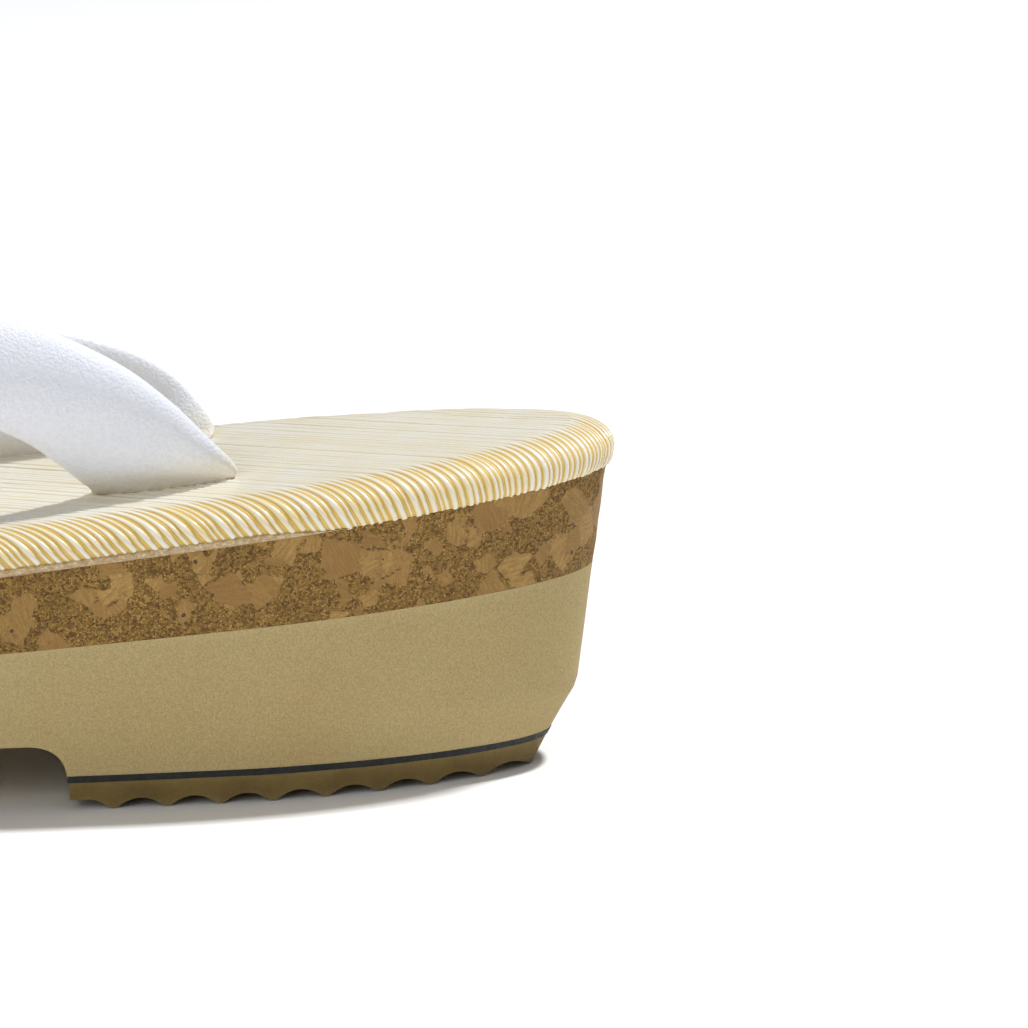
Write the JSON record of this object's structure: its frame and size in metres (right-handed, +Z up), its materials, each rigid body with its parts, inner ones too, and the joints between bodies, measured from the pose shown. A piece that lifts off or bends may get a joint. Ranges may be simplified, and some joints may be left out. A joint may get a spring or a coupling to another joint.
{
  "type": "zori sandal",
  "caption": "Wedge zori sandal with a rolled ribbed cover on cork and sponge layers, an arch gap, scalloped treads and a padded V strap with a toe post.",
  "frame": {"origin": "on the floor, under the middle of the bounding box", "axes": "+Z up, +Y along the sole towards the heel, toe towards -Y, X across the sole"},
  "size_m": [0.088, 0.24, 0.0755],
  "materials": {
    "cover": "satin ribbed weave",
    "cork": "matt",
    "sponge": "matt closed-cell foam",
    "sheet": "satin",
    "tread": "matt",
    "strap": "fine grain"
  },
  "bodies": {
    "root": {"top_cover": "cover", "cork_layer": "cork", "sponge_midsole": "sponge", "heel_bonding_sheet": "sheet", "forefoot_bonding_sheet": "sheet", "heel_tread": "tread", "forefoot_tread": "tread", "strap_upper": "strap", "toe_post": "strap"}
  },
  "joints": []
}
